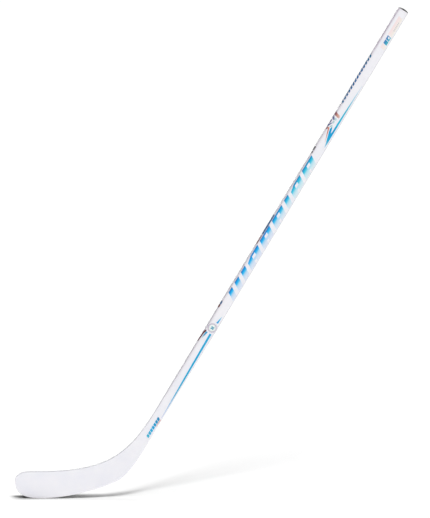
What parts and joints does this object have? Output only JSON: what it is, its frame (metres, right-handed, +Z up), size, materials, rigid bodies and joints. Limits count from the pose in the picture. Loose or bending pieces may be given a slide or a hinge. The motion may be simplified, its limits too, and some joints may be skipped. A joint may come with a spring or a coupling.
{
  "type": "ice hockey stick",
  "caption": "One-piece ice hockey stick: hollow rounded rectangular shaft, tapered hosel, curved foam-cored blade, flush butt plug and slanted blue graphics.",
  "frame": {"origin": "the flat of the blade's sole where the stick rests on the ice or floor, midway through the blade's thickness", "axes": "+Z up from the floor; the shaft leans towards +X at 58.45 degrees from the floor and the toe points to -X; the blade's backhand face and the shaft's near wide face look to -Y, and the toe curves towards +Y"},
  "size_m": [1.1067, 0.0526, 1.3672],
  "materials": {
    "shell_white": "clear-coated white paint on carbon laminate",
    "laminate": "bare carbon laminate",
    "core_foam": "closed-cell structural foam",
    "cap_black": "satin moulded black plastic",
    "plug_plastic": "moulded black plastic",
    "ink_bars": "printed film under clear coat, blue fading to pale lilac",
    "ink_cyan": "printed film under clear coat",
    "ink_pink": "printed film under clear coat",
    "ink_silver": "printed film under clear coat",
    "ink_white": "printed film under clear coat",
    "ink_teal": "printed film under clear coat",
    "ink_red": "printed film under clear coat",
    "ink_blue": "printed film under clear coat",
    "ink_orange": "printed film under clear coat",
    "ink_navy": "printed film under clear coat",
    "ink_dark": "printed film under clear coat"
  },
  "bodies": {
    "stick": {"shaft_tube": "shell_white", "shaft_taper": "shell_white", "hosel_tenon": "laminate", "hosel_foam": "core_foam", "blade_skin_backhand": "shell_white", "blade_skin_forehand": "shell_white", "blade_edge_rail": "shell_white", "blade_core_lower": "core_foam", "blade_core_upper": "core_foam", "blade_bridge_rib": "laminate", "graphic_bars": "ink_bars", "heel_stripe": "ink_cyan", "heel_blocks": "ink_cyan", "heel_accent": "ink_pink", "roundel_ring": "ink_silver", "roundel_disc": "ink_white", "roundel_mark": "ink_teal", "dart_red": "ink_red", "dart_blue": "ink_blue", "chevron_band": "ink_blue", "chevron_pinstripe": "ink_orange", "burst_blue": "ink_blue", "burst_red": "ink_red", "edge_hatch": "ink_navy", "edge_marks": "ink_navy", "edge_print": "ink_dark", "butt_label": "ink_pink", "butt_blocks": "ink_blue", "far_bars": "ink_bars"},
    "end_plug": {"butt_cap": "cap_black", "butt_tongue": "plug_plastic"}
  },
  "joints": [
    {"name": "end_plug_pull", "type": "slide", "parent": "stick", "child": "end_plug", "axis": [0.5232, 0, 0.8522], "range_m": [0, 0.07]}
  ]
}
